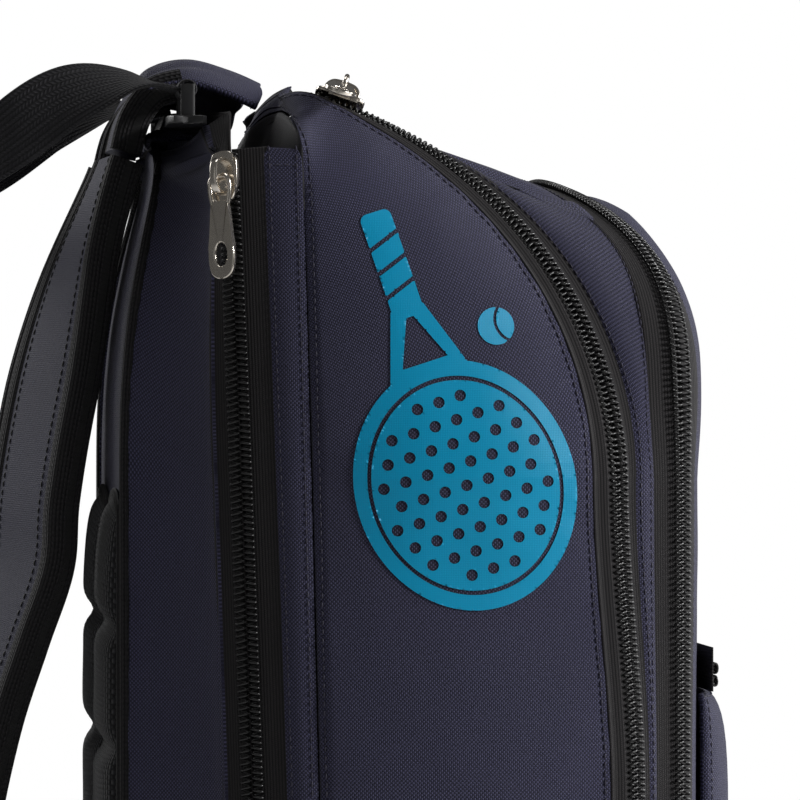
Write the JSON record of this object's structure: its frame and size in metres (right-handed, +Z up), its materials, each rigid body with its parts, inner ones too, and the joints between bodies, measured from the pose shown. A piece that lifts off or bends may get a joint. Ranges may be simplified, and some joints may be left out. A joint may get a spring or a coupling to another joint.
{
  "type": "racket backpack",
  "caption": "Soft racket backpack with a zip-open back sleeve, zip-open front sections, padded shoulder straps and a webbing grab handle.",
  "frame": {"origin": "on the floor, at the centre of the base's underside", "axes": "+Z up, +Y towards the wearer's back (straps), -Y the front pocket, X from side to side"},
  "size_m": [0.3208, 0.2972, 0.5201],
  "materials": {
    "navy_fabric": "woven polyester with a visible oxford weave, matt",
    "navy_padding": "padded woven polyester over closed-cell foam, matt",
    "black_lining": "thin woven lining, matt",
    "zip_tape": "woven zip tape, matt",
    "zip_coil": "moulded nylon coil, half gloss",
    "black_webbing": "ribbed polypropylene webbing",
    "black_binding": "coarse edge binding tape",
    "black_mesh": "spacer mesh",
    "black_plastic": "moulded acetal, satin",
    "stiffener_board": "plastic board, matt",
    "slider_metal": "polished nickel plate over zinc"
  },
  "bodies": {
    "bag": {"main_side_wall": "navy_fabric", "divider_panel": "black_lining", "racket_top_lining": "black_lining", "plackets": "navy_fabric", "base_tray": "navy_fabric", "base_board": "stiffener_board", "main_zip_body_tape": "zip_tape", "main_zip_body_coil": "zip_coil", "side_zip_body_tapes": "zip_tape", "side_zip_body_coils": "zip_coil"},
    "back_panel": {"back_side_band": "navy_fabric", "back_face": "navy_fabric", "back_pad_left": "navy_padding", "back_pad_right": "navy_padding", "lumbar_pad": "navy_padding", "strap_yoke": "navy_fabric", "side_zip_back_tapes": "zip_tape", "side_zip_back_coils": "zip_coil", "strap_stubs": "navy_fabric", "lower_tabs": "black_webbing", "handle_mounts": "black_webbing"},
    "strap_left": {"strap_left_pad": "navy_padding", "strap_left_mesh": "black_mesh", "strap_left_binding": "black_binding", "strap_left_webbing": "black_webbing", "strap_left_buckle": "black_plastic"},
    "strap_right": {"strap_right_pad": "navy_padding", "strap_right_mesh": "black_mesh", "strap_right_binding": "black_binding", "strap_right_webbing": "black_webbing", "strap_right_buckle": "black_plastic"},
    "handle": {"grab_handle": "black_webbing", "handle_loops": "black_webbing"},
    "front_section": {"front_gusset": "navy_fabric", "front_divider": "black_lining", "main_zip_front_tape": "zip_tape", "main_zip_front_coil": "zip_coil", "front_zip_gusset_tape": "zip_tape", "front_zip_gusset_coil": "zip_coil"},
    "front_panel": {"front_panel": "navy_fabric", "front_zip_panel_tape": "zip_tape", "front_zip_panel_coil": "zip_coil", "pocket_zip_tape": "zip_tape", "pocket_zip_coil": "zip_coil", "pocket_shell": "navy_fabric"},
    "side_slider_left": {"side_slider_left": "slider_metal"},
    "side_puller_left": {"side_puller_left": "slider_metal"},
    "side_slider_right": {"side_slider_right": "slider_metal"},
    "side_puller_right": {"side_puller_right": "slider_metal"},
    "main_slider_low": {"main_slider_low": "slider_metal"},
    "main_puller_low": {"main_puller_low": "slider_metal"},
    "main_slider_top": {"main_slider_top": "slider_metal"},
    "main_puller_top": {"main_puller_top": "slider_metal"},
    "front_slider": {"front_slider": "slider_metal"},
    "front_puller": {"front_puller": "slider_metal"},
    "pocket_slider": {"pocket_slider": "slider_metal"},
    "pocket_puller": {"pocket_puller": "slider_metal"}
  },
  "joints": [
    {"name": "back_panel_open", "type": "hinge", "parent": "bag", "child": "back_panel", "pos_m": [0, 0.106, 0.0955], "axis": [-1, 0, 0], "range_deg": [0, 60]},
    {"name": "front_section_open", "type": "hinge", "parent": "bag", "child": "front_section", "pos_m": [0, -0.10613, 0.0955], "axis": [1, 0, 0], "range_deg": [0, 70]},
    {"name": "front_panel_open", "type": "hinge", "parent": "front_section", "child": "front_panel", "pos_m": [0, -0.10613, 0.0955], "axis": [1, 0, 0], "range_deg": [0, 75]},
    {"name": "strap_left_swing", "type": "hinge", "parent": "back_panel", "child": "strap_left", "pos_m": [-0.057, 0.106, 0.487], "axis": [-0.1157, 0.0161, -0.9931], "range_deg": [0, 12]},
    {"name": "strap_right_swing", "type": "hinge", "parent": "back_panel", "child": "strap_right", "pos_m": [0.057, 0.106, 0.487], "axis": [-0.1157, -0.0161, 0.9931], "range_deg": [0, 12]},
    {"name": "handle_lift", "type": "hinge", "parent": "back_panel", "child": "handle", "pos_m": [0, 0.084, 0.509], "axis": [1, 0, 0], "range_deg": [0, 95]},
    {"name": "side_slider_left_run", "type": "hinge", "parent": "back_panel", "child": "side_slider_left", "pos_m": [1.854, 0.0617, 0.23], "axis": [0, -0.9995, 0.033], "range_deg": [0, 9.2]},
    {"name": "side_slider_right_run", "type": "hinge", "parent": "back_panel", "child": "side_slider_right", "pos_m": [-1.854, 0.0617, 0.23], "axis": [0, 0.9995, -0.033], "range_deg": [0, 9.2]},
    {"name": "main_slider_top_run", "type": "hinge", "parent": "front_section", "child": "main_slider_top", "pos_m": [-0.1233, 0.07581, 0.3759], "axis": [-0.9808, 0.0828, 0.1766], "range_deg": [-6, 0]},
    {"name": "main_slider_low_run", "type": "slide", "parent": "front_section", "child": "main_slider_low", "axis": [0, 0, 1], "range_m": [-0.12, 0.008]},
    {"name": "front_slider_run", "type": "slide", "parent": "front_panel", "child": "front_slider", "axis": [0, 0, 1], "range_m": [-0.18, 0.05]},
    {"name": "pocket_slider_run", "type": "slide", "parent": "front_panel", "child": "pocket_slider", "axis": [1, 0, 0], "range_m": [-0.115, 0.03]},
    {"name": "side_puller_left_swing", "type": "hinge", "parent": "side_slider_left", "child": "side_puller_left", "pos_m": [-0.13602, 0.07435, 0.47752], "axis": [0.6354, 0.765, -0.1049], "range_deg": [0, 170]},
    {"name": "side_puller_right_swing", "type": "hinge", "parent": "side_slider_right", "child": "side_puller_right", "pos_m": [0.13602, 0.07435, 0.47752], "axis": [0.6354, -0.765, 0.1049], "range_deg": [0, 170]},
    {"name": "main_puller_low_swing", "type": "hinge", "parent": "main_slider_low", "child": "main_puller_low", "pos_m": [0.14682, -0.0746, 0.25], "axis": [-0.7445, -0.6676, 0], "range_deg": [0, 170]},
    {"name": "front_puller_swing", "type": "hinge", "parent": "front_slider", "child": "front_puller", "pos_m": [0.12867, -0.09322, 0.31067], "axis": [-0.7455, -0.6665, 0], "range_deg": [0, 170]},
    {"name": "pocket_puller_swing", "type": "hinge", "parent": "pocket_slider", "child": "pocket_puller", "pos_m": [0.0414, -0.1112, 0.302], "axis": [0, 0, 1], "range_deg": [0, 170]},
    {"name": "main_puller_top_swing", "type": "hinge", "parent": "main_slider_top", "child": "main_puller_top", "pos_m": [-0.10236, 0.02821, 0.51122], "axis": [0.1378, 0.9411, 0.3088], "range_deg": [0, 120]}
  ]
}
